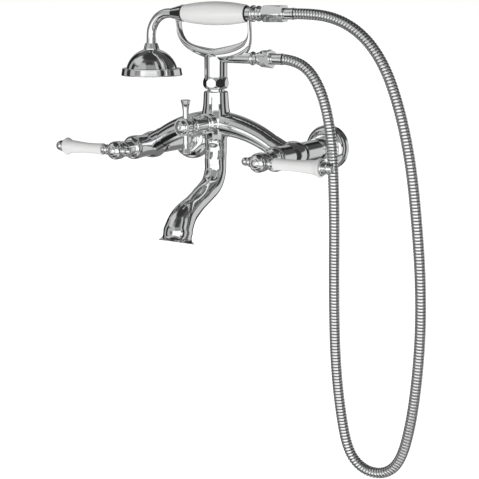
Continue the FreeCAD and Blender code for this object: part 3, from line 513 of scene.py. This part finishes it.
def math_node(tree, operation, *values):
    """One Math node; each value is a number or another node's output."""
    node = tree.nodes.new("ShaderNodeMath")
    node.operation = operation
    for socket, value in zip(node.inputs, values):
        if isinstance(value, (int, float)):
            socket.default_value = value
        else:
            tree.links.new(value, socket)
    return node.outputs[0]


# Each panel: left, right, low, high (degrees from the camera's side), softness, brightness.
panels = [
    (-400, 400, -95, -20, 14, 0.20),
    (-400, 400, 30, 95, 14, 0.10),
    (-400, 400, 64, 95, 14, 0.04),
    (-178, -152, -30, 40, 8, 0.34),
    (-152, -124, -34, 40, 8, 0.015),
    (-124, -106, -30, 40, 7, 0.42),
    (-106, -86, -34, 30, 7, 0.03),
    (-86, -64, -30, 26, 7, 0.50),
    (38, 54, -30, 40, 6, 0.03),
    (54, 74, -32, 40, 7, 0.52),
    (74, 98, -34, 50, 8, 0.04),
    (98, 140, -26, 14, 8, 0.62),
    (98, 140, 14, 60, 10, 0.07),
    (140, 162, -30, 40, 8, 0.02),
    (162, 184, -30, 40, 8, 0.40),
    (-60, 58, -50, -30, 8, 0.62),
    (18, 66, -74, -44, 9, 0.70),
    (-92, -44, -76, -36, 8, 0.015),
    (-160, -96, -76, -56, 8, 0.70),
    (150, 200, -76, -48, 8, 0.05),
    (-30, 16, -66, -50, 8, 0.10),
    (-118, -64, 32, 60, 9, 0.62),
    (-66, -22, 14, 48, 9, 0.50),
    (-32, 10, 42, 60, 8, 0.05),
    (-20, 22, 20, 44, 8, 0.32),
    (24, 38, 14, 58, 6, 0.55),
    (-64, 38, -24, 4, 7, 1.20),
    (-40, 24, -10, 17, 7, 1.25),
    (-60, 60, -31, -27, 3, 0.03),
]


room_level = 0.14


def studio_world():
    """Panels laid over each other in order, for reflections; the camera itself sees white."""
    world = bpy.data.worlds.new("studio")
    world.use_nodes = True
    tree = world.node_tree
    tree.nodes.clear()
    place = tree.nodes.new("ShaderNodeTexCoord")
    split = tree.nodes.new("ShaderNodeSeparateXYZ")
    tree.links.new(place.outputs["Generated"], split.inputs[0])
    behind = math_node(tree, "MULTIPLY", split.outputs["Y"], -1.0)
    turn = math_node(tree, "ARCTAN2", split.outputs["X"], behind)
    turn = math_node(tree, "MULTIPLY", turn, 180.0 / math.pi)
    turn = math_node(tree, "SUBTRACT", turn, math.degrees(view_turn))
    turn = math_node(tree, "WRAP", turn, 180.0, -180.0)
    rise = math_node(tree, "ARCSINE", split.outputs["Z"])
    rise = math_node(tree, "MULTIPLY", rise, 180.0 / math.pi)
    group = panel_group()
    level = room_level
    for left, right, low, high, soft, bright in panels:
        mask = tree.nodes.new("ShaderNodeGroup")
        mask.node_tree = group
        limits = {"Left": left, "Right": right, "Low": low, "High": high, "Soft": soft}
        for name, value in limits.items():
            mask.inputs[name].default_value = value
        tree.links.new(turn, mask.inputs["Turn"])
        tree.links.new(rise, mask.inputs["Rise"])
        mix = tree.nodes.new("ShaderNodeMix")
        mix.data_type = "FLOAT"
        tree.links.new(mask.outputs["Mask"], mix.inputs["Factor"])
        if isinstance(level, float):
            mix.inputs["A"].default_value = level
        else:
            tree.links.new(level, mix.inputs["A"])
        mix.inputs["B"].default_value = bright
        level = mix.outputs["Result"]
    seen = tree.nodes.new("ShaderNodeLightPath")
    room = tree.nodes.new("ShaderNodeBackground")
    tree.links.new(level, room.inputs["Strength"])
    paper = tree.nodes.new("ShaderNodeBackground")
    paper.inputs["Strength"].default_value = 1.0
    paper.inputs["Color"].default_value = (1, 1, 1, 1)
    room.inputs["Color"].default_value = (1, 1, 1, 1)
    choose = tree.nodes.new("ShaderNodeMixShader")
    tree.links.new(seen.outputs["Is Camera Ray"], choose.inputs[0])
    tree.links.new(room.outputs[0], choose.inputs[1])
    tree.links.new(paper.outputs[0], choose.inputs[2])
    leave = tree.nodes.new("ShaderNodeOutputWorld")
    tree.links.new(choose.outputs[0], leave.inputs["Surface"])
    bpy.context.scene.world = world


studio_world()

# %% [markdown]
# ## Floor and soft lights
# The chrome is lit by the panels, but the white glaze needs real light to look round.
# Two large area lights give it soft shade. A lamp would also show as a square in the
# chrome, so both are hidden from reflections, and so is the floor, whose own glow keeps
# it as pale as paper.

# %% Lay the floor
floor_mesh = bpy.data.meshes.new("floor")
reach = 40.0
floor_height = -0.42
floor_corners = [(x, y, floor_height) for x, y in (
    (-reach, -reach), (reach, -reach), (reach, reach), (-reach, reach),
)]
floor_mesh.from_pydata(floor_corners, [], [(0, 1, 2, 3)])
floor = bpy.data.objects.new("floor", floor_mesh)
bpy.context.scene.collection.objects.link(floor)
floor_paint = bpy.data.materials.new("floor_paper")
floor_paint.use_nodes = True
floor_shader = floor_paint.node_tree.nodes["Principled BSDF"]
floor_shader.inputs["Base Color"].default_value = (0.85, 0.85, 0.85, 1)
floor_shader.inputs["Roughness"].default_value = 1.0
floor_shader.inputs["Specular IOR Level"].default_value = 0.0
floor_shader.inputs["Emission Color"].default_value = (1, 1, 1, 1)
floor_shader.inputs["Emission Strength"].default_value = 0.95
floor.data.materials.append(floor_paint)
floor.visible_glossy = False
print("floor reaches", reach, "m each way")


# %% Hang two soft lights
def soft_light(name, place, aim, size, power):
    """A square area light that brightens the white pieces but isn't seen in the chrome."""
    data = bpy.data.lights.new(name, "AREA")
    data.size = size
    data.energy = power
    lamp = bpy.data.objects.new(name, data)
    lamp.location = place
    lamp.rotation_mode = "QUATERNION"
    lamp.rotation_quaternion = (Vector(aim) - Vector(place)).to_track_quat("-Z", "Y")
    lamp.visible_glossy = False
    bpy.context.scene.collection.objects.link(lamp)
    return lamp


aim_point = (0, -0.1, 0)
lamp_size = 1.6
soft_light("key", (-1.2, -2.0, 1.4), aim_point, lamp_size, 22.0)
soft_light("fill", (2.2, -1.8, 0.6), aim_point, lamp_size, 10.0)
print("lamps:", len(bpy.data.lights))
